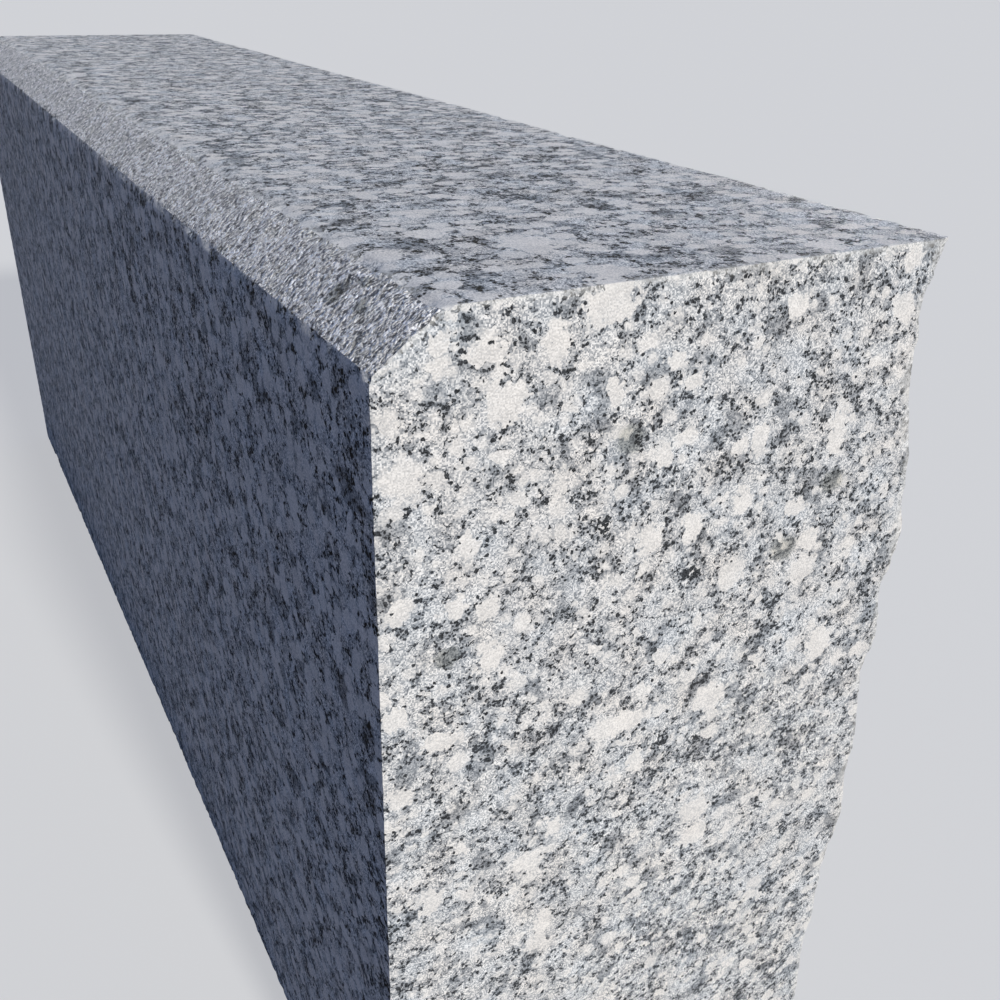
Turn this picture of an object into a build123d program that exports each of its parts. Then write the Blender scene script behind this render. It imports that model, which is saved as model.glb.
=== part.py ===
"""A granite kerb stone: a sawn block with a dressed chamfer along its front top edge and a split back.

Millimetres. X runs along the kerb, the front face looks to -Y and Z is up. The origin is at the
middle of the bed face, taking the width as that of the sawn top.
"""

from build123d import *
import math
import os
import random

# The sawn block
LENGTH = 700.0
WIDTH = 150.0  # of the top, from the front face to the arris of the split back
HEIGHT = 300.0
CHAMFER_DEPTH = 14.5  # across the top
CHAMFER_DROP = 11.0  # down the front face

# The split back at the near end (+X): distance below the top, and how far the stone stands out
# beyond the top arris there
NEAR_END_PROFILE = [
    (0.0, 0.9),
    (13.0, -3.0),
    (29.0, -3.7),
    (47.0, 0.6),
    (61.0, 3.8),
    (70.0, 4.4),
    (84.0, 7.6),
    (97.0, 3.3),
    (112.0, 4.8),
    (130.0, 3.4),
    (162.0, 5.9),
    (194.0, 6.8),
    (210.0, 4.2),
    (228.0, 4.6),
    (243.0, 2.8),
    (272.0, 5.0),
]

# The split back away from that end: waves of lumps and hollows in the fractured face
MEAN_PROUD = 3.0  # average stand-out beyond the top arris
BROAD_LUMP = 95.0  # spacing of the broad lumps
BROAD_RELIEF = 4.2
FINE_LUMP = 37.0  # spacing of the smaller ones
FINE_RELIEF = 1.6
ARRIS_BAND = 22.0  # the relief dies away over this distance below the straight top arris
ARRIS_RELIEF = 0.8  # what is left of it at the arris
END_BLEND = 120.0  # the near end's profile passes into the lumps over this length
SPLIT_SEED = 41

# The surface that the split is modelled with
GRID_STEP = 12.0
FIT_TOLERANCE = 0.2
WASTE_MARGIN = 24.0  # it runs past the block on every side by this much

# Spalls: shallow hollow scars where chips have come off an arris
BACK_SPALL_RADIUS = 45.0
BACK_SPALL_LEAN = 0.28  # they face the near end, and lean this much towards the back
BACK_SPALLS = [  # drop, bite
    (6.0, 0.6),
    (17.0, 0.5),
    (33.0, 0.6),
    (46.0, 0.8),
    (60.0, 0.5),
    (73.0, 0.5),
    (87.0, 0.8),
    (128.0, 0.5),
    (166.0, 0.5),
    (205.0, 0.6),
]
CHAMFER_SPALL_RADIUS = 26.0
CHAMFER_SPALLS = [(9.0, 0.9), (36.0, 1.2), (171.0, 0.9)]  # distance from the near end, bite

FRONT = -WIDTH / 2
BACK = WIDTH / 2
END = LENGTH / 2


def smooth(t):
    """Ease from 0 to 1."""
    t = min(max(t, 0.0), 1.0)
    return t * t * (3 - 2 * t)


def sawn_block():
    """The block before splitting: the sawn section, extruded, and deep enough to split to its back."""
    deep = BACK + WASTE_MARGIN
    section = Polyline(
        (FRONT, 0),
        (deep, 0),
        (deep, HEIGHT),
        (FRONT + CHAMFER_DEPTH, HEIGHT),
        (FRONT, HEIGHT - CHAMFER_DROP),
        close=True,
    )
    near_end = Plane(origin=(END, 0, 0), x_dir=(0, 1, 0), z_dir=(1, 0, 0))
    return extrude(near_end * make_face(section), amount=-LENGTH)


def lumps(x, z, spacing, layer):
    """Smooth random relief between -1 and 1 over the split face, one random height per cell corner."""
    column, across = divmod(x / spacing, 1)
    row, up = divmod(z / spacing, 1)

    def corner(i, j):
        return random.Random(f"{SPLIT_SEED} {layer} {column + i} {row + j}").uniform(-1, 1)

    low = corner(0, 0) + (corner(1, 0) - corner(0, 0)) * smooth(across)
    high = corner(0, 1) + (corner(1, 1) - corner(0, 1)) * smooth(across)
    return low + (high - low) * smooth(up)


def near_end_proud(drop):
    """The near end's own profile, easing from point to point."""
    if drop <= 0:
        return NEAR_END_PROFILE[0][1]
    for (above, out_above), (below, out_below) in zip(NEAR_END_PROFILE, NEAR_END_PROFILE[1:]):
        if drop <= below:
            return out_above + (out_below - out_above) * smooth((drop - above) / (below - above))
    return NEAR_END_PROFILE[-1][1]


def split_proud(x, z):
    """How far the split face stands out beyond the line of the top arris."""
    drop = HEIGHT - z
    relief = BROAD_RELIEF * lumps(x, z, BROAD_LUMP, "broad") + FINE_RELIEF * lumps(x, z, FINE_LUMP, "fine")
    depth = smooth(drop / ARRIS_BAND)
    away = depth * (MEAN_PROUD + relief) + (1 - depth) * ARRIS_RELIEF * lumps(x, z, BROAD_LUMP, "arris")
    near = smooth(1 - (END - x) / END_BLEND)
    return near * near_end_proud(drop) + (1 - near) * away


def spaced(low, high):
    """Evenly spaced values from low to high, about a grid step apart."""
    count = math.ceil((high - low) / GRID_STEP)
    return [low + (high - low) * i / count for i in range(count + 1)]


def split_waste():
    """What splitting takes away: everything behind the fractured surface."""
    rows = spaced(-WASTE_MARGIN, HEIGHT + WASTE_MARGIN)
    columns = spaced(-END - WASTE_MARGIN, END + WASTE_MARGIN)
    points = [[(x, BACK + split_proud(x, z), z) for x in columns] for z in rows]
    fracture = Face.make_surface_from_array_of_points(points, tol=FIT_TOLERANCE)
    return Solid.extrude(fracture, Vector(0, 2 * WASTE_MARGIN, 0))


def spall(arris, outward, radius, bite):
    """The ball that a spall's scar is part of: it bites this deep into an arris from outside."""
    centre = Vector(*arris) + Vector(*outward).normalized() * (radius - bite)
    return Pos(centre) * Sphere(radius)


def spalls():
    """The scars along the back arris of the near end, and along the chamfer's upper arris."""
    scars = []
    for drop, bite in BACK_SPALLS:
        arris = (END, BACK + near_end_proud(drop), HEIGHT - drop)
        scars.append(spall(arris, (1, BACK_SPALL_LEAN, 0), BACK_SPALL_RADIUS, bite))
    for from_end, bite in CHAMFER_SPALLS:
        arris = (END - from_end, FRONT + CHAMFER_DEPTH, HEIGHT)
        scars.append(spall(arris, (0, -CHAMFER_DROP, 2 * CHAMFER_DEPTH), CHAMFER_SPALL_RADIUS, bite))
    return scars


def main():
    stone = sawn_block() - split_waste() - spalls()
    os.makedirs("parts", exist_ok=True)
    export_step(stone, "parts/kerb_stone.step")


main()
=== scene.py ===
"""A granite kerb stone with sawn faces, a dressed chamfer and a split back, on a plain pale floor.

Metres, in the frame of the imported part: X runs along the kerb, the front face looks to -Y and Z is up.
"""

import math

import bpy
import numpy as np
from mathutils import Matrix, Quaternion, Vector
from mathutils.bvhtree import BVHTree


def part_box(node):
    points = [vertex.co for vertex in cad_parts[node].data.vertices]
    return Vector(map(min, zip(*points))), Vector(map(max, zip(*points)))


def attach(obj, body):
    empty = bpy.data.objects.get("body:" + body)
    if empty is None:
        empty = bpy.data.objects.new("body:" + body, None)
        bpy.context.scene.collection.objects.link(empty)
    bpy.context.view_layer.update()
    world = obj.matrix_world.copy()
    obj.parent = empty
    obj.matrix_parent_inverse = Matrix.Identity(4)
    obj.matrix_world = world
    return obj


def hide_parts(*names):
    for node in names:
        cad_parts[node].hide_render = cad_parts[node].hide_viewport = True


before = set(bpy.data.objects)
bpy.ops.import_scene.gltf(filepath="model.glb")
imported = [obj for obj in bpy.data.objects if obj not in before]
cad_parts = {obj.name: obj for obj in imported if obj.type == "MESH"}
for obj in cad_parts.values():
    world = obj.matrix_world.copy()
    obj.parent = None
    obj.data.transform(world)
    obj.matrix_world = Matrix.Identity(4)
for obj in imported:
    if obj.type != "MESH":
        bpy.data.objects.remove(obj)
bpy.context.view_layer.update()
MM = 0.001

# The sawn block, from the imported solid
NODE = "kerb_stone"
LOW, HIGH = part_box(NODE)
END = HIGH.x
FRONT = LOW.y
TOP = HIGH.z
CHAMFER_DEPTH = 14.5 * MM
CHAMFER_DROP = 11 * MM
CHAMFER_SLOPE = math.atan2(CHAMFER_DROP, CHAMFER_DEPTH)
BACK = -FRONT  # the line of the back top arris

# The camera, as fitted to the photograph
CAMERA_AT = (0.5212, -0.1438, 0.3576)
CAMERA_TO = (0.3276, -0.0340, 0.2438)
CAMERA_ROLL = math.radians(-1.5)
CAMERA_LENS = 38.31
CAMERA_SENSOR = 36
CAMERA_NEAR = 0.01

# The light: a low sun by the near end, a weaker one from behind and the blue of the sky. What a camera
# or a reflection sees of the surroundings is pale.
SUN_FROM = (0.875, 0.06, 0.48)
SUN_STRENGTH = 3.16
SUN_COLOUR = (1.0, 0.984, 0.923)
FILL_FROM = (-0.68, 0.73, 0.0)
FILL_STRENGTH = 1.3
FILL_COLOUR = (1.0, 0.97, 0.92)
LIGHT_SPREAD = math.radians(5)
SKY = (0.24, 0.44, 0.95, 1)
SKY_STRENGTH = 0.25
SURROUNDINGS = (0.86, 0.87, 0.88, 1)

# The floor, as it lights the stone and as it is seen
FLOOR_REACH = 60.0
FLOOR = (0.25, 0.235, 0.23, 1)
FLOOR_SEEN = (0.7, 0.7, 0.7, 1)
FLOOR_GLOW = (0.80, 0.80, 0.81, 1)
GLOW_SHARE = 0.6

# The mesh's grid
FINE_STEP = 0.75 * MM  # beside an arris
OPEN_STEP = 1.9 * MM  # away from it
FINE_BAND = 14 * MM
CLOSE_STEP = 1.2 * MM  # along the kerb, by the near end
CLOSE_BAND = 250 * MM
STEP_MARGIN = 0.2 * MM  # by which that may exceed the open step, far from the near end
CHAMFER_STEPS = 20
WELD_REACH = 0.01 * MM
RAY_INSET = 0.02 * MM  # keeps rays at the solid's limits on it
RAY_START = 1.0  # how far outside they start
MOST_TRIANGLES = 194000
SHARP_ANGLE = math.radians(38)

# The colours of crushed rock, of a bruised arris, of dirt, and of the shade painted into hollows; dirt and
# that shade darken what they lie on
CRUSHED = (1.0, 0.955, 0.915, 1)
BRUISED = (0.86, 0.84, 0.80, 1)
SOIL = (0.58, 0.58, 0.50, 1)
HOLLOW_SHADE = (0.24, 0.25, 0.27, 1)
BRUISE_SHARE = 0.35
SOIL_SHARE = 0.5
ROUGHNESS = 0.65

# The rock's grains and patterns, by their size in mm
LARGE_GRAIN = 13.0
SMALL_GRAIN = 5.2
BROAD_PATTERN = 8.0
FINE_PATTERN = 2.3
DIRT_PATTERN = 9.0
MICA_FLECK = 0.9
SPECK = 0.33
BORDER_WAVE = 2.0
BORDER_SHIFT = 2.6
FINE_BORDER_SHIFT = 0.6
FOLIATION_TURN = math.radians(30)
FOLIATION_DRAW = 1.2

# Feldspars that stand out, as (place, place, half size, half size) in mm. On the near end a place is
# across from the front face and up from the bed, and on the top along from the middle of the kerb and
# back from the front face.
END_FELDSPARS = [
    (28.5, 278.2, 5.4, 5.2),
    (53.0, 296.0, 6.6, 5.0),
    (25.0, 289.3, 5.6, 2.0),
    (40.5, 289.5, 2.8, 5.2),
    (14.0, 292.5, 2.3, 2.2),
    (56.0, 276.0, 2.1, 3.1),
    (71.0, 281.0, 2.6, 2.2),
    (76.0, 275.5, 3.6, 2.1),
    (104.0, 289.0, 3.2, 3.0),
    (139.5, 284.5, 3.8, 4.2),
    (70.5, 258.5, 2.6, 3.4),
    (98.5, 257.0, 2.6, 4.7),
    (124.0, 254.0, 2.6, 6.4),
    (21.0, 247.5, 2.6, 3.4),
    (69.0, 237.5, 3.7, 3.6),
    (81.0, 238.0, 3.0, 4.6),
    (96.0, 241.5, 3.1, 3.5),
    (113.5, 235.5, 3.6, 3.0),
    (120.5, 224.0, 3.4, 3.0),
    (26.0, 231.0, 3.2, 3.1),
    (18.0, 233.0, 2.6, 3.1),
    (4.5, 235.5, 2.8, 2.7),
    (26.5, 218.0, 3.2, 4.6),
    (3.5, 208.5, 2.7, 3.3),
    (14.5, 198.5, 5.4, 3.0),
    (4.0, 185.5, 3.5, 3.0),
    (67.0, 185.0, 8.0, 3.4),
    (131.5, 188.5, 4.0, 6.0),
    (71.0, 170.0, 2.6, 3.6),
    (46.5, 158.5, 2.6, 3.2),
    (11.5, 149.5, 3.1, 4.4),
    (45.0, 124.5, 3.0, 4.0),
]
TOP_FELDSPARS = [
    (315.0, 54.0, 8.0, 7.0),
    (298.0, 37.0, 3.8, 5.0),
    (341.0, 56.0, 4.5, 4.5),
    (344.0, 117.0, 4.6, 4.6),
    (290.5, 85.0, 4.0, 3.5),
]
# Patches that are thick with fine mica and dirt, also on the chamfer, along the kerb and up the slope,
# and solid spots of mica
END_PATCHES = [
    (60.5, 264.5, 3.8, 3.6),
    (112.0, 224.0, 4.4, 3.6),
    (125.0, 240.5, 3.8, 3.2),
    (16.0, 221.0, 3.0, 2.6),
]
CHAMFER_PATCHES = [
    (315.0, 9.5, 2.8, 4.0),
    (320.5, 14.6, 3.0, 1.6),
    (331.0, 17.6, 3.2, 1.3),
    (327.0, 9.8, 2.6, 1.8),
]
END_SPOTS = [
    (55.2, 245.0, 2.2, 2.2),
    (82.0, 224.5, 2.8, 1.9),
    (79.5, 175.0, 1.9, 2.4),
]
NO_BLOB_NEAR = 10.0

# How the stone is worked and worn
CHIP_WIDTH = 3.2 * MM
CHIP_DEPTH = 0.75 * MM
LARGE_CHIP_WIDTH = 7 * MM
LARGE_CHIP_DEPTH = 1.6 * MM
WEAR_WIDTH = 1.2 * MM
WEAR_DEPTH = 0.12 * MM
BRUISE_WIDTH = 1.2 * MM
TOOLING_FADE = 2.5 * MM  # below the face
BREAK_UP_FADE = 3 * MM
ARRIS_BAND = 16 * MM  # the break-up is weaker over this distance below the top

# Random patterns for these, as (spacing, seed)
CHIPS = (2.6 * MM, 11)
FINE_CHIPS = (1.4 * MM, 12)
LARGE_CHIPS = (9 * MM, 13)
WEAR = (4 * MM, 14)
BRUISES = (3 * MM, 61)

# Whole numbers that stir a cell's place and seed into a random value
STIR = (374761393, 668265263, 2147483647)
STIR_SEED = 1274126177


def lattice(cell, seed):
    """Random values from 0 to 1, one for each whole-numbered cell and seed."""
    mixed = cell[..., 0] * STIR[0] + cell[..., 1] * STIR[1] + cell[..., 2] * STIR[2] + seed * STIR_SEED
    mixed = (mixed ^ (mixed >> 13)) & 0xFFFFFFFF
    mixed = (mixed * STIR_SEED) & 0xFFFFFFFF
    mixed = mixed ^ (mixed >> 16)
    return (mixed & 0xFFFFFF) / 0xFFFFFF


def smooth(t):
    """Ease from 0 to 1."""
    t = np.clip(t, 0, 1)
    return t * t * (3 - 2 * t)


def soft_noise(points, spacing, seed):
    """Smooth random values from -1 to 1 with lumps of about this spacing."""
    scaled = points / spacing
    cell = np.floor(scaled).astype(np.int64)
    part = smooth(scaled - cell)
    total = np.zeros(len(points))
    for corner in np.ndindex(2, 2, 2):
        weight = np.prod(np.where(corner, part, 1 - part), axis=-1)
        total += weight * lattice(cell + np.array(corner), seed)
    return 2 * total - 1


def facets(points, spacing, seed):
    """Random flat facets of about this size, each tilted its own way, from about -1 to 1."""
    scaled = points / spacing
    home = np.floor(scaled).astype(np.int64)
    nearest = np.full(len(points), np.inf)
    height = np.zeros(len(points))
    for step in np.ndindex(3, 3, 3):
        cell = home + np.array(step) - 1
        centre = cell + np.stack([lattice(cell, seed + k) for k in range(3)], axis=-1)
        away = scaled - centre
        distance = np.einsum("ij,ij->i", away, away)
        tilt = np.stack([2 * lattice(cell, seed + 3 + k) - 1 for k in range(3)], axis=-1)
        level = 2 * lattice(cell, seed + 6) - 1
        here = 0.5 * level + np.einsum("ij,ij->i", away, tilt)
        closer = distance < nearest
        height = np.where(closer, here, height)
        nearest = np.where(closer, distance, nearest)
    return height


def graded(low, high, step_at):
    """Places from low to high whose spacing follows step_at(place)."""
    places = [low]
    while places[-1] < high:
        places.append(places[-1] + step_at(places[-1]))
    places = np.array(places)
    return low + (places - low) * (high - low) / (places[-1] - low)


def step_between(low, high):
    """The grid's spacing between two arrises: fine beside them and open in the middle."""
    def step(place):
        away = min(place - low, high - place)
        return FINE_STEP + (OPEN_STEP - FINE_STEP) * min(1, max(0, away) / FINE_BAND)
    return step


def step_along(x):
    """The same along the kerb, where it is also closer towards the near end."""
    close = max(0, 1 - (END - x) / CLOSE_BAND)
    return min(step_between(-END, END)(x), OPEN_STEP + STEP_MARGIN + (CLOSE_STEP - OPEN_STEP) * close)


class Solid:
    """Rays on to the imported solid, to take its forms over exactly."""

    def __init__(self, node):
        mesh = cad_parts[node].data
        triangles = [tuple(p.vertices) for p in mesh.polygons]
        self.tree = BVHTree.FromPolygons([v.co for v in mesh.vertices], triangles)

    def back(self, x, z):
        """The split face's y at (x, z)."""
        x = min(max(x, LOW.x + RAY_INSET), HIGH.x - RAY_INSET)
        z = min(max(z, LOW.z + RAY_INSET), HIGH.z - RAY_INSET)
        return self.tree.ray_cast(Vector((x, HIGH.y + RAY_START, z)), Vector((0, -1, 0)))[0].y

    def top(self, x, y):
        """The height of the top or the chamfer at (x, y)."""
        x = min(max(x, LOW.x + RAY_INSET), HIGH.x - RAY_INSET)
        y = max(y, FRONT + RAY_INSET)
        return self.tree.ray_cast(Vector((x, y, TOP + RAY_START)), Vector((0, 0, -1)))[0].z


def stone_patches():
    """The stone's surface as grids of points that meet edge to edge: (finish, grid)."""
    solid = Solid(NODE)
    xs = graded(-END, END, step_along)
    rise = graded(0, TOP, step_between(0, TOP))
    across = graded(0, 1, lambda t: step_between(0, 2 * BACK)(t * 2 * BACK) / (2 * BACK))

    front_rise = np.interp(np.linspace(0, 1, len(rise) - CHAMFER_STEPS), np.linspace(0, 1, len(rise)), rise)
    front_rise *= (TOP - CHAMFER_DROP) / TOP
    chamfer = np.linspace(0, 1, CHAMFER_STEPS + 1)[1:]

    def section(x):
        """The four sides of the section at x: front with chamfer, back, bed and top."""
        front = [(x, FRONT, z) for z in front_rise]
        for t in chamfer:
            y = FRONT + t * CHAMFER_DEPTH
            front.append((x, y, solid.top(x, y)))
        back = [(x, solid.back(x, z), z) for z in rise]
        bed = [(x, FRONT + t * (back[0][1] - FRONT), 0) for t in across]
        start = front[-1]
        arris = back[-1][1]
        top = [start]
        for t in across[1:-1]:
            y = start[1] + t * (arris - start[1])
            top.append((x, y, solid.top(x, y)))
        top.append(back[-1])
        return front, back, bed, top

    sections = [section(x) for x in xs]
    front, back, bed, top = (np.array([s[side] for s in sections]) for side in range(4))
    split = len(front_rise) - 1
    patches = [
        ("sawn", front[:, :split + 1]),
        ("dressed", front[:, split:]),
        ("split", back[:, ::-1]),
        ("sawn", bed[:, ::-1]),
        ("sawn", top),
    ]
    for i in (0, -1):
        cap = front[i][:, None] + (back[i] - front[i])[:, None] * across[None, :, None]
        cap[0] = bed[i]
        cap[-1] = top[i]
        patches.append(("cut", cap[:, ::-1] if i else cap))
    return patches


def weld(patches, finishes):
    """One closed mesh from the patches: points, quads and the index of each quad's finish."""
    points = np.concatenate([grid.reshape(-1, 3) for _, grid in patches])
    quads = []
    kinds = []
    start = 0
    for finish, grid in patches:
        rows, columns = grid.shape[:2]
        index = start + np.arange(rows * columns).reshape(rows, columns)
        quad = np.stack([index[:-1, :-1], index[1:, :-1], index[1:, 1:], index[:-1, 1:]], axis=-1)
        quads.append(quad.reshape(-1, 4))
        kinds += [finishes.index(finish)] * len(quads[-1])
        start += rows * columns
    rounded = np.round(points / WELD_REACH).astype(np.int64)
    _, first, same = np.unique(rounded, axis=0, return_index=True, return_inverse=True)
    return points[first], same.reshape(-1)[np.concatenate(quads)], np.array(kinds)


def depths(points, back_line):
    """How far inside each face of the stone every point lies, with the face's outward normal."""
    x, y, z = points.T
    slope = math.hypot(CHAMFER_DEPTH, CHAMFER_DROP)
    chamfer_normal = np.array([0, -CHAMFER_DROP, CHAMFER_DEPTH]) / slope
    chamfer_point = np.array([0, FRONT, TOP - CHAMFER_DROP])
    return {
        "near": (END - x, np.array([1, 0, 0])),
        "far": (END + x, np.array([-1, 0, 0])),
        "front": (y - FRONT, np.array([0, -1, 0])),
        "top": (TOP - z, np.array([0, 0, 1])),
        "bed": (z, np.array([0, 0, -1])),
        "chamfer": ((chamfer_point - points) @ chamfer_normal, chamfer_normal),
        "back": (back_line - y, np.array([0, 1, 0])),
    }


# Every arris: how strongly it is chipped in small, chipped in large, and worn round
ARRISES = [
    ("near", "front", 0.5, 0.15, 1.0),
    ("near", "chamfer", 1.2, 0.2, 1.0),
    ("near", "top", 0.9, 0.3, 1.0),
    ("near", "back", 0.5, 0.1, 1.0),
    ("near", "bed", 1.0, 1.0, 1.0),
    ("far", "front", 1.0, 1.0, 1.0),
    ("far", "chamfer", 1.0, 0.6, 1.0),
    ("far", "top", 1.0, 1.0, 1.0),
    ("far", "back", 1.0, 1.0, 1.0),
    ("far", "bed", 1.0, 1.0, 1.0),
    ("front", "bed", 1.0, 1.0, 1.0),
    ("front", "chamfer", 0.7, 0.1, 0.5),
    ("chamfer", "top", 0.6, 0.15, 3.0),
    ("top", "back", 1.0, 0.7, 1.0),
    ("back", "bed", 1.0, 1.0, 1.0),
]


# The relief of the chamfer's tooling and of the split face's break-up, as layers: (pattern, spacing,
# height in mm, seed)
TOOLING = [
    (soft_noise, 9 * MM, 0.25, 21),
    (soft_noise, 2.2 * MM, 0.16, 22),
    (facets, 2.6 * MM, 0.14, 51),
]
BREAK_UP = [
    (soft_noise, 13 * MM, 0.5, 31),
    (facets, 6 * MM, 0.35, 41),
    (soft_noise, 2.4 * MM, 0.16, 32),
]


def layered(points, layers, lift):
    """The layers added up, in mm, with lift added to each pattern before its height multiplies it."""
    total = np.zeros(len(points))
    for pattern, spacing, height, seed in layers:
        total += height * (lift + pattern(points, spacing, seed))
    return total


def bruise(points, back_line):
    """How far the grains are crushed white, which they are along the arrises that were worked by hand or
    knocked: those of the chamfer and the split back, and the near end's upper one. The chamfer's lower
    arris is crisp."""
    depth = depths(points, back_line)
    ragged = BRUISE_WIDTH * (1.1 + soft_noise(points, *BRUISES))
    total = np.zeros(len(points))
    for one, other, *_ in ARRISES:
        struck = "chamfer" in (one, other) or "back" in (one, other) or (one, other) == ("near", "top")
        if struck and (one, other) != ("front", "chamfer"):
            away = np.hypot(depth[one][0], depth[other][0])
            total = np.maximum(total, smooth(1.4 - away / ragged))
    return total


def worked(points, back_line):
    """The points with the marks of dressing and splitting, and with the arrises chipped and worn."""
    depth = depths(points, back_line)
    moved = np.zeros_like(points)

    chips = np.clip(soft_noise(points, *CHIPS) - 0.15, 0, 1)
    chips += 0.5 * np.clip(soft_noise(points, *FINE_CHIPS), 0, 1)
    large = np.clip(soft_noise(points, *LARGE_CHIPS) - 0.55, 0, 1) / 0.45
    wear = 0.6 + 0.4 * soft_noise(points, *WEAR)
    for one, other, small_share, large_share, worn in ARRISES:
        away = np.hypot(depth[one][0], depth[other][0])
        inward = -(depth[one][1] + depth[other][1])
        bite = small_share * CHIP_DEPTH * chips * smooth(1 - away / CHIP_WIDTH)
        bite = bite + large_share * LARGE_CHIP_DEPTH * large * smooth(1 - away / LARGE_CHIP_WIDTH)
        bite = bite + worn * WEAR_DEPTH * wear * smooth(1 - away / (WEAR_WIDTH * math.sqrt(worn)))
        moved += bite[:, None] * inward

    inside, normal = depth["chamfer"]
    tooling = layered(points, TOOLING, 1)
    moved -= (MM * tooling * smooth(1 - inside / TOOLING_FADE))[:, None] * normal

    inside, normal = depth["back"]
    break_up = layered(points, BREAK_UP, 0)
    free = 0.3 + 0.7 * smooth(depth["top"][0] / ARRIS_BAND)
    moved -= (MM * break_up * free * smooth(1 - inside / BREAK_UP_FADE))[:, None] * normal
    return points + moved


def stone_mesh(finishes):
    """The worked stone's mesh, with the finishes as its material slots and the bruises as an attribute."""
    patches = stone_patches()
    points, quads, kinds = weld(patches, finishes)

    # The split face's own line at each height, for the points on it and on the ends
    back_grid = next(grid for finish, grid in patches if finish == "split")
    xs = back_grid[:, 0, 0]
    zs = back_grid[0, ::-1, 2]
    values = back_grid[:, ::-1, 1]
    column = np.clip(np.searchsorted(xs, points[:, 0]) - 1, 0, len(xs) - 2)
    row = np.clip(np.searchsorted(zs, points[:, 2]) - 1, 0, len(zs) - 2)
    u = np.clip((points[:, 0] - xs[column]) / (xs[column + 1] - xs[column]), 0, 1)
    v = np.clip((points[:, 2] - zs[row]) / (zs[row + 1] - zs[row]), 0, 1)
    low = values[column, row] * (1 - u) + values[column + 1, row] * u
    high = values[column, row + 1] * (1 - u) + values[column + 1, row + 1] * u
    back_line = low * (1 - v) + high * v

    crushed = bruise(points, back_line)
    points = np.clip(worked(points, back_line), LOW, HIGH)
    mesh = bpy.data.meshes.new("kerb_stone_surface")
    mesh.from_pydata(points.tolist(), [], quads.tolist())
    mesh.polygons.foreach_set("material_index", kinds.astype(np.int32))
    mesh.attributes.new("bruise", "FLOAT", "POINT").data.foreach_set("value", crushed.astype(np.float32))
    mesh.validate()
    return mesh


def thin_out(piece):
    """Fewer triangles on the flat faces, so that the piece stays within its number of them."""
    triangles = 2 * len(piece.data.polygons)
    modifier = piece.modifiers.new("thin_out", "DECIMATE")
    modifier.ratio = MOST_TRIANGLES / triangles
    graph = bpy.context.evaluated_depsgraph_get()
    mesh = bpy.data.meshes.new_from_object(piece.evaluated_get(graph))
    piece.modifiers.clear()
    for vertex in mesh.vertices:
        vertex.co = np.clip(vertex.co, LOW, HIGH)
    piece.data = mesh


class Tree:
    """Short ways to add nodes to a node tree and link them up."""

    def __init__(self, tree):
        self.tree = tree

    def node(self, kind, inputs=(), **settings):
        made = self.tree.nodes.new(kind)
        for name, value in settings.items():
            setattr(made, name, value)
        for key, value in dict(inputs).items():
            self.feed(made.inputs[key], value)
        return made

    def feed(self, socket, value):
        if isinstance(value, bpy.types.NodeSocket):
            self.tree.links.new(value, socket)
        else:
            socket.default_value = value

    def math(self, operation, *values):
        return self.node("ShaderNodeMath", dict(enumerate(values)), operation=operation).outputs[0]

    def vector(self, operation, *values):
        made = self.node("ShaderNodeVectorMath", dict(enumerate(values)), operation=operation)
        return made.outputs["Value" if operation in ("LENGTH", "DOT_PRODUCT") else "Vector"]

    def scale(self, vector, factor):
        made = self.node("ShaderNodeVectorMath", {0: vector, "Scale": factor}, operation="SCALE")
        return made.outputs["Vector"]

    def span(self, value, low, high, to_low=0.0, to_high=1.0):
        """value, mapped from low..high to to_low..to_high with eased ends."""
        inputs = {"Value": value, "From Min": low, "From Max": high, "To Min": to_low, "To Max": to_high}
        made = self.node("ShaderNodeMapRange", inputs, interpolation_type="SMOOTHSTEP")
        return made.outputs["Result"]

    def mix(self, share, one, other, blend="MIX"):
        made = self.node("ShaderNodeMix", data_type="RGBA", blend_type=blend)
        for socket, value in ((made.inputs[0], share), (made.inputs[6], one), (made.inputs[7], other)):
            self.feed(socket, value)
        return made.outputs[2]

    def blend(self, share, one, other):
        """The same for plain numbers."""
        return self.node("ShaderNodeMix", {0: share, 2: one, 3: other}, data_type="FLOAT").outputs[0]

    def noise(self, vector, size, detail=2.0, roughness=0.5, output="Fac"):
        """Noise with features of this size, in the vector's units."""
        inputs = {"Vector": vector, "Scale": 1 / size, "Detail": detail, "Roughness": roughness}
        return self.node("ShaderNodeTexNoise", inputs).outputs[output]

    def voronoi(self, vector, size):
        """Random cells of this size: their colour, middle and distance from it."""
        return self.node("ShaderNodeTexVoronoi", {"Vector": vector, "Scale": 1 / size}).outputs

    def channels(self, colour):
        """The colour's red, green and blue, which also serve as three random numbers."""
        return self.node("ShaderNodeSeparateColor", {0: colour}).outputs


def on_end(across, up, half_across, half_up):
    """A blob on the near end: its centre and half axes."""
    return (END / MM, across + FRONT / MM, up), (half_across, half_across, half_up)


def on_top(along, back, half_along, half_back):
    """The same on the top."""
    return (along, back + FRONT / MM, TOP / MM), (half_along, half_back, half_back)


def on_chamfer(along, climb, half_along, half_climb):
    """The same on the chamfer."""
    y = FRONT / MM + climb * math.cos(CHAMFER_SLOPE)
    z = (TOP - CHAMFER_DROP) / MM + climb * math.sin(CHAMFER_SLOPE)
    return (along, y, z), (half_along, half_climb, half_climb)


def nearest_blob(t, place, blobs):
    """Distance to the nearest of these blobs, which is 1 at a blob's border."""
    nearest = NO_BLOB_NEAR
    for centre, axes in blobs:
        shrink = tuple(1 / axis for axis in axes)
        shift = tuple(-middle / axis for middle, axis in zip(centre, axes))
        away = t.vector("LENGTH", t.vector("MULTIPLY_ADD", place, shrink, shift))
        nearest = t.math("MINIMUM", nearest, away)
    return nearest


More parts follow.
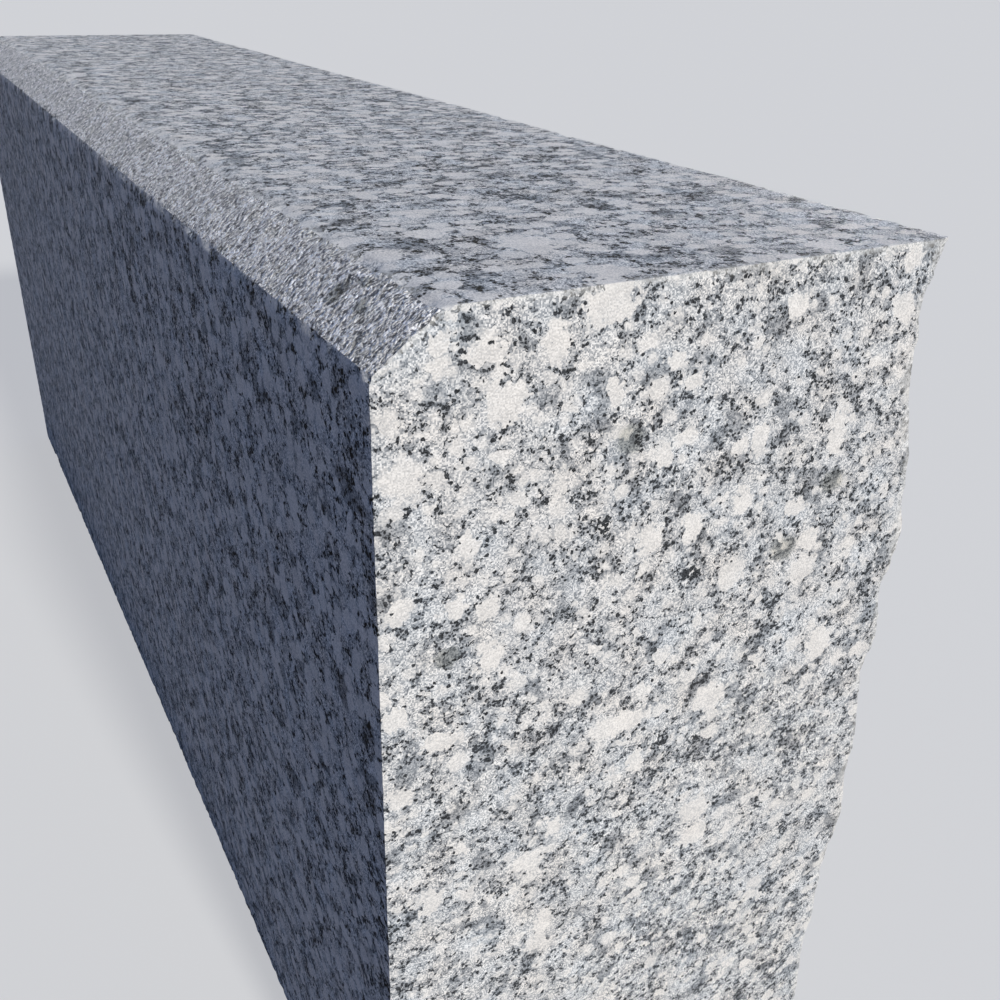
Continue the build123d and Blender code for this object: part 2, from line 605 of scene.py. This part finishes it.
def rock(t, place, feldspars=(), patches=(), spots=(), rarity=0.72):
    """The rock itself: its colour, masks for its mica flecks and its dirty patches, and a random number
    for each fine speck.

    feldspars, patches and spots are the blobs that are listed one by one. rarity is the share of the places
    for a large random feldspar that stay empty.
    """
    # Grain borders wander, and the rock is drawn out a little along its foliation.
    bend = t.vector("SUBTRACT", t.noise(place, BORDER_WAVE, 1.0, 0.6, "Color"), (0.5, 0.5, 0.5))
    bent = t.vector("ADD", place, t.scale(bend, BORDER_SHIFT))
    drawn_inputs = {"Vector": bent, "Rotation": (FOLIATION_TURN, 0, 0), "Scale": (1, 1 / FOLIATION_DRAW, 1)}
    drawn = t.node("ShaderNodeMapping", drawn_inputs, vector_type="POINT").outputs[0]

    # Pale feldspars: many small ones and a few large ones, with soft borders
    ragged = t.vector("DOT_PRODUCT", bend, (1.2, -1.0, 1.1))
    wide = t.voronoi(drawn, LARGE_GRAIN)
    large_size = t.span(t.channels(wide["Color"])[0], rarity, 1.0, -0.2, 0.36)
    large_size = t.math("MULTIPLY_ADD", ragged, 0.25, large_size)
    large = t.span(t.math("SUBTRACT", large_size, wide["Distance"]), -0.07, 0.08, 0.0, 0.9)
    small = t.voronoi(drawn, SMALL_GRAIN)
    small_random = t.channels(small["Color"])
    small_size = t.span(small_random[0], 0.0, 1.0, 0.0, 0.62)
    minor = t.span(t.math("SUBTRACT", small_size, small["Distance"]), -0.14, 0.16, 0.0, 0.85)
    feldspar = t.math("MAXIMUM", large, minor)
    if feldspars:
        shown = t.span(t.math("ADD", nearest_blob(t, bent, feldspars), ragged), 1.16, 0.84, 0.0, 0.95)
        feldspar = t.math("MAXIMUM", shown, feldspar)

    # Between them, quartz: light grey, with a fine mottle, and a little different from grain to grain
    broad = t.channels(t.noise(drawn, BROAD_PATTERN, 0.0, 0.5, "Color"))
    field = t.noise(drawn, FINE_PATTERN, 2.0, 0.7)
    field = t.math("MULTIPLY_ADD", t.math("SUBTRACT", broad[0], 0.5), 0.28, field)
    rim = t.math("MULTIPLY", feldspar, t.math("SUBTRACT", 1.0, feldspar))
    shade = t.math("MULTIPLY_ADD", rim, -0.25, t.math("MULTIPLY_ADD", feldspar, 0.17, field))
    marked = t.span(nearest_blob(t, bent, patches), 1.25, 0.7) if patches else 0.0
    free = t.math("SUBTRACT", 1.0, feldspar)
    patch = t.math("MULTIPLY", t.math("MAXIMUM", t.span(broad[1], 0.36, 0.29), marked), free)
    loose = t.vector("ADD", place, t.scale(bend, FINE_BORDER_SHIFT))
    cell = t.vector("SNAP", loose, (SPECK, SPECK, SPECK))
    speck = t.channels(t.node("ShaderNodeTexWhiteNoise", {"Vector": cell}).outputs["Color"])
    mottle = t.span(speck[1], 0.0, 1.0, -0.50, 0.38)
    light = t.span(shade, 0.38, 0.56, 0.34, 0.64)
    light = t.math("MULTIPLY", light, t.math("MULTIPLY_ADD", small_random[2], 0.16, 0.92))
    light = t.math("MULTIPLY", light, t.math("MULTIPLY_ADD", patch, -0.4, 1.0))
    pale = t.math("MULTIPLY_ADD", mottle, 0.2, t.math("MULTIPLY_ADD", small_random[1], 0.1, 0.75))
    dark = t.math("MULTIPLY", light, t.math("ADD", mottle, 1.04))
    body = t.blend(t.math("MULTIPLY", feldspar, 0.94), dark, pale)

    # Mica: separate black flecks that gather where the field is low, above all around the feldspars
    fleck = t.voronoi(loose, MICA_FLECK)
    fleck_random = t.channels(fleck["Color"])
    chance = t.math("MAXIMUM", t.span(shade, 0.50, 0.40, 0.015, 0.95), t.math("MULTIPLY", patch, 0.14))
    spot = t.span(nearest_blob(t, bent, spots), 1.2, 0.8) if spots else 0.0
    chance = t.math("MULTIPLY", chance, free)
    there = t.math("LESS_THAN", fleck_random[0], t.math("MAXIMUM", chance, t.math("MULTIPLY", spot, 0.88)))
    reach = t.math("MULTIPLY_ADD", spot, 0.25, t.math("MULTIPLY_ADD", fleck_random[1], 0.42, 0.34))
    mica = t.math("MULTIPLY", there, t.span(t.math("SUBTRACT", reach, fleck["Distance"]), -0.07, 0.07))
    body = t.blend(mica, body, t.math("MULTIPLY_ADD", speck[1], 0.07, 0.016))

    # Cream feldspar against cool grey, and a hue that drifts a little from grain to grain
    drift = t.math("MULTIPLY_ADD", broad[2], 0.1, -0.05)
    drift = t.math("MULTIPLY", drift, t.math("MULTIPLY_ADD", feldspar, -0.75, 1.0))
    warmth = t.math("MULTIPLY_ADD", feldspar, 0.022, t.span(body, 0.05, 0.85, -0.075, 0.026))
    warmth = t.math("ADD", warmth, drift)
    green = t.math("MULTIPLY", body, t.span(body, 0.1, 0.8, 0.985, 1.0))
    red = t.math("MULTIPLY", body, t.math("ADD", warmth, 1.0))
    blue = t.math("MULTIPLY", body, t.math("SUBTRACT", 1.0, warmth))
    colour = t.node("ShaderNodeCombineColor", {0: red, 1: green, 2: blue}).outputs[0]
    return colour, mica, marked, speck[1]


def granite(name, relief, marks, grains=(), strokes=0.0, bloom=0.0, grit_and_speck_shade=0.0, bright=0.0, contrast=0.0,
            dirt=0.0, hollow_shade=0.0, gloss=0.12):
    """The rock with one of its finishes.

    relief lists (size, depth) of the surface's texture. marks are the rock's own arguments, for what
    stands out on these faces. grains lists the broken grains: their size, how far they tilt and how far
    they differ in brightness, partly in their own tone and partly as painted light and shade on their
    tilted facets. strokes draws both out up the chamfer's slope by this factor, as its dressing did.
    bloom is how far crushed grains whiten the rock, and grit_and_speck_shade how much they differ speck
    by speck, partly in tone and partly as painted shade between them. bright and contrast change the
    rock's own tones. dirt is how much of it has settled in patches, hollow_shade how dark the shade is
    that is painted into the hollows, and gloss how strongly the surface reflects.
    """
    material = bpy.data.materials.new(name)
    material.use_nodes = True
    material.node_tree.nodes.clear()
    t = Tree(material.node_tree)
    place = t.scale(t.node("ShaderNodeTexCoord").outputs["Object"], 1 / MM)
    colour, mica, marked, speck = rock(t, place, **marks)

    tone_inputs = {"Color": colour, "Bright": bright, "Contrast": contrast}
    colour = t.node("ShaderNodeBrightContrast", tone_inputs).outputs[0]
    if bloom:
        share = t.math("MULTIPLY_ADD", mica, -0.5 * bloom, bloom)
        share = t.math("MULTIPLY", share, t.math("MULTIPLY_ADD", marked, -0.7, 1.0))
        # Crushed grains differ speck by speck, partly in their own tone and partly as painted shade between
        # them
        crushed = t.scale(CRUSHED[:3], t.math("MULTIPLY_ADD", speck, grit_and_speck_shade, 1 - 0.5 * grit_and_speck_shade))
        colour = t.mix(share, colour, crushed)
    bruised = t.node("ShaderNodeAttribute", attribute_name="bruise").outputs["Fac"]
    colour = t.mix(t.math("MULTIPLY", bruised, BRUISE_SHARE), colour, BRUISED)
    patches = marked
    if dirt:
        settled = t.span(t.noise(place, DIRT_PATTERN, 3.0, 0.7), 0.52, 0.62, 0.0, dirt)
        patches = t.math("MAXIMUM", patches, settled)
    colour = t.mix(t.math("MULTIPLY", patches, SOIL_SHARE), colour, SOIL, "MULTIPLY")

    if strokes:
        frame_inputs = {"Vector": place, "Rotation": (CHAMFER_SLOPE, 0, 0), "Scale": (1, strokes, 1)}
        place = t.node("ShaderNodeMapping", frame_inputs, vector_type="TEXTURE").outputs[0]
    height = 0.0
    for size, depth in relief:
        height = t.math("MULTIPLY_ADD", t.noise(place, size, 0.0, 0.7), depth, height)
    # Painted shade: the colour is darkened where the relief is low, in its hollows
    if hollow_shade:
        middle = sum(depth for _, depth in relief) / 2
        low = t.math("MULTIPLY", t.span(height, middle * 0.94, middle * 0.76), hollow_shade)
        colour = t.mix(low, colour, HOLLOW_SHADE, "MULTIPLY")
    # Broken grains: each tilts the bump its own way, and its colour is made lighter or darker, partly as
    # the grain's own tone and partly as painted light and shade on its tilted facet
    for size, tilt, tone_and_shade_spread in grains:
        cells = t.voronoi(place, size)
        leaning = t.vector("SUBTRACT", cells["Color"], (0.5, 0.5, 0.5))
        local = t.vector("SUBTRACT", place, cells["Position"])
        height = t.math("MULTIPLY_ADD", t.vector("DOT_PRODUCT", local, leaning), tilt, height)
        grain_tone_and_shade = t.math("MULTIPLY_ADD", t.channels(cells["Color"])[0], tone_and_shade_spread, 1 - 0.5 * tone_and_shade_spread)
        grain_tone_and_shade = t.node("ShaderNodeCombineColor", {0: grain_tone_and_shade, 1: grain_tone_and_shade, 2: grain_tone_and_shade}).outputs[0]
        colour = t.mix(1.0, colour, grain_tone_and_shade, "MULTIPLY")
    bump = t.node("ShaderNodeBump", {"Strength": 1.0, "Distance": MM, "Height": height}).outputs[0]
    inputs = {"Base Color": colour, "Roughness": ROUGHNESS, "Normal": bump, "Specular IOR Level": gloss}
    shader = t.node("ShaderNodeBsdfPrincipled", inputs)
    t.node("ShaderNodeOutputMaterial", {"Surface": shader.outputs[0]})
    return material


def make_stone():
    """The stone's visible piece, which rides on the part and replaces its one node."""
    round_arris = [on_end(*blob) for blob in END_FELDSPARS if blob[1] + blob[3] > TOP / MM]
    on_cut = {
        "feldspars": [on_end(*blob) for blob in END_FELDSPARS],
        "patches": [on_end(*blob) for blob in END_PATCHES],
        "spots": [on_end(*blob) for blob in END_SPOTS],
        "rarity": 0.86,
    }
    on_sawn = {"feldspars": [on_top(*blob) for blob in TOP_FELDSPARS] + round_arris}
    on_dressed = {"patches": [on_chamfer(*blob) for blob in CHAMFER_PATCHES]}
    finishes = {
        "sawn": granite("granite_sawn", [(0.6, 0.07)], on_sawn, bright=-0.03, contrast=0.14),
        "cut": granite("granite_cut", [(0.5, 0.14)], on_cut),
        "dressed": granite("granite_dressed", [(1.2, 0.6), (0.45, 0.5)], on_dressed,
                           grains=[(0.9, 0.3, 0.7), (0.42, 0.2, 0.7)], strokes=1.5, bloom=0.88, grit_and_speck_shade=0.9,
                           dirt=0.5, hollow_shade=1.0, gloss=0.05),
        "split": granite("granite_split", [(2.0, 0.8)], {}, grains=[(1.1, 0.5, 0.2)], bloom=0.12),
    }
    piece = bpy.data.objects.new("kerb_stone_worked", stone_mesh(list(finishes)))
    bpy.context.scene.collection.objects.link(piece)
    for material in finishes.values():
        piece.data.materials.append(material)
    thin_out(piece)
    piece.data.shade_smooth()
    piece.data.set_sharp_from_angle(angle=SHARP_ANGLE)
    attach(piece, "root")
    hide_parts(NODE)


def make_floor():
    """A pale floor, which keeps the stone's shadow."""
    mesh = bpy.data.meshes.new("floor")
    corners = [(FLOOR_REACH * x, FLOOR_REACH * y, 0) for x, y in ((-1, -1), (1, -1), (1, 1), (-1, 1))]
    mesh.from_pydata(corners, [], [(0, 1, 2, 3)])
    floor = bpy.data.objects.new("floor", mesh)
    bpy.context.scene.collection.objects.link(floor)
    material = bpy.data.materials.new("pale_floor")
    material.use_nodes = True
    material.node_tree.nodes.clear()
    t = Tree(material.node_tree)
    camera_ray = t.node("ShaderNodeLightPath").outputs["Is Camera Ray"]
    ground = t.node("ShaderNodeBsdfDiffuse", {"Color": t.mix(camera_ray, FLOOR, FLOOR_SEEN)})
    pale = t.node("ShaderNodeEmission", {"Color": FLOOR_GLOW, "Strength": 1.0})
    seen = t.math("MULTIPLY", camera_ray, GLOW_SHARE)
    both = t.node("ShaderNodeMixShader", {0: seen, 1: ground.outputs[0], 2: pale.outputs[0]})
    t.node("ShaderNodeOutputMaterial", {"Surface": both.outputs[0]})
    material.cycles.emission_sampling = "NONE"
    mesh.materials.append(material)


def make_light(name, away, strength, colour):
    """Even light from this direction, a little soft at the edges of its shadows."""
    light = bpy.data.lights.new(name, "SUN")
    light.energy = strength
    light.angle = LIGHT_SPREAD
    light.color = colour
    lamp = bpy.data.objects.new(name, light)
    lamp.location = Vector(away) * 2
    lamp.rotation_mode = "QUATERNION"
    lamp.rotation_quaternion = (-Vector(away)).to_track_quat("-Z", "Y")
    bpy.context.scene.collection.objects.link(lamp)


def make_world():
    """The sky's light, and the pale surroundings that are seen."""
    world = bpy.data.worlds.new("studio")
    world.use_nodes = True
    world.node_tree.nodes.clear()
    t = Tree(world.node_tree)
    rays = t.node("ShaderNodeLightPath").outputs
    seen = t.math("MAXIMUM", rays["Is Glossy Ray"], rays["Is Transmission Ray"])
    seen = t.math("MAXIMUM", rays["Is Camera Ray"], seen)
    colour = t.mix(seen, SKY, SURROUNDINGS)
    strength = t.span(seen, 0.0, 1.0, SKY_STRENGTH, 1.0)
    background = t.node("ShaderNodeBackground", {"Color": colour, "Strength": strength})
    t.node("ShaderNodeOutputWorld", {"Surface": background.outputs[0]})
    bpy.context.scene.world = world


def make_camera():
    """The photograph's camera."""
    data = bpy.data.cameras.new("camera")
    data.sensor_width = CAMERA_SENSOR
    data.lens = CAMERA_LENS
    data.clip_start = CAMERA_NEAR
    data.dof.use_dof = False
    camera = bpy.data.objects.new("camera", data)
    camera.location = CAMERA_AT
    look = (Vector(CAMERA_TO) - Vector(CAMERA_AT)).normalized()
    camera.rotation_mode = "QUATERNION"
    turn = look.to_track_quat("-Z", "Y")
    camera.rotation_quaternion = Quaternion(look, CAMERA_ROLL) @ turn
    bpy.context.scene.collection.objects.link(camera)
    bpy.context.scene.camera = camera


make_camera()
make_world()
make_light("key", SUN_FROM, SUN_STRENGTH, SUN_COLOUR)
make_light("fill", FILL_FROM, FILL_STRENGTH, FILL_COLOUR)
make_floor()
make_stone()

view = bpy.context.scene.view_settings
view.view_transform = "Standard"
